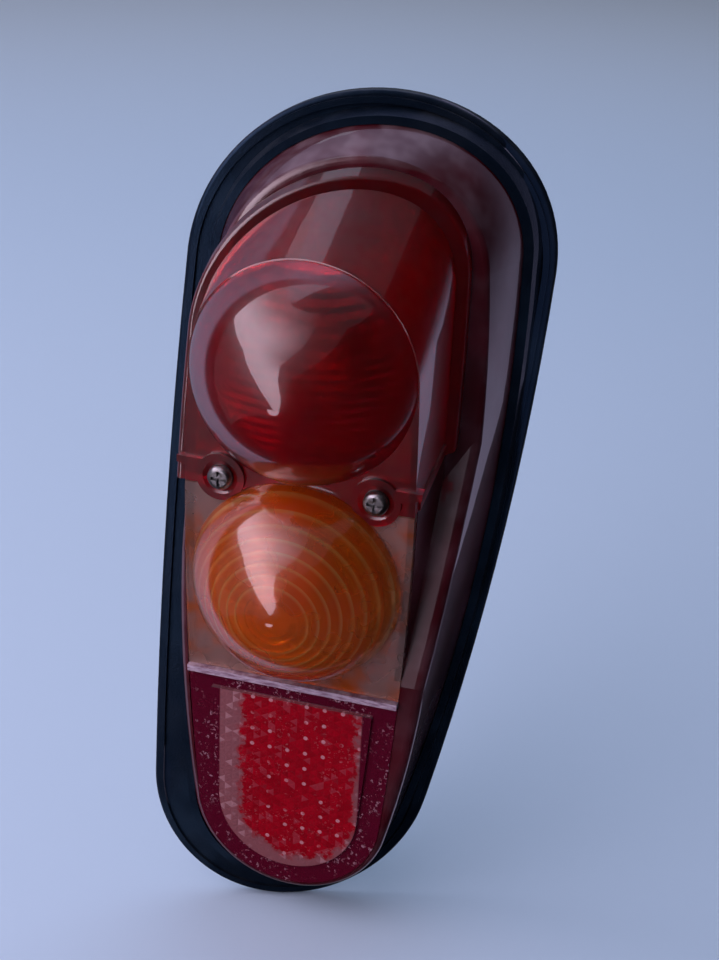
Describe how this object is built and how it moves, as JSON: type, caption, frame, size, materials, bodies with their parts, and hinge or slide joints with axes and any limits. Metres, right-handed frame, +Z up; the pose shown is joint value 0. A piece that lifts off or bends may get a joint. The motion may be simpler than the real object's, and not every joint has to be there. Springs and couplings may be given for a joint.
{
  "type": "rear lamp cluster",
  "caption": "Tall rounded rear lamp for a small car: red domed stop lens, amber ringed turn lens and red reflector in a red body on a rubber gasket.",
  "frame": {"origin": "on the outer skin of the body panel, midway between the two mounting studs", "axes": "+X outboard to the car's right, +Y forwards into the car, +Z up; the lenses face -Y"},
  "size_m": [0.096, 0.0808, 0.2355],
  "materials": {
    "red_plastic": "glossy translucent dark red",
    "amber_plastic": "glossy translucent amber",
    "reflex_red": "prismatic red, weathered",
    "rubber": "satin black",
    "white_plate": "white enamel",
    "zinc_steel": "zinc plated",
    "bright_screw": "bright plated",
    "bulb_glass": "clear",
    "bulb_cap": "plated",
    "holder_plastic": "black moulded",
    "blade_brass": "bare"
  },
  "bodies": {
    "root": {"gasket": "rubber", "base_plate": "white_plate", "lamp_body": "red_plastic", "stop_lens": "red_plastic", "turn_lens": "amber_plastic", "reflector": "reflex_red", "reflector_backing": "red_plastic", "chamber_divider": "white_plate", "cable_grommet": "rubber", "lens_screw_left": "bright_screw", "lens_screw_right": "bright_screw", "lens_pillar_left": "zinc_steel", "lens_pillar_right": "zinc_steel", "mounting_stud_upper": "zinc_steel", "mounting_stud_lower": "zinc_steel", "stop_bulb_glass": "bulb_glass", "stop_bulb_cap": "bulb_cap", "stop_bulb_holder": "holder_plastic", "stop_terminals": "blade_brass", "turn_bulb_glass": "bulb_glass", "turn_bulb_cap": "bulb_cap", "turn_bulb_holder": "holder_plastic", "turn_terminals": "blade_brass"}
  },
  "joints": []
}
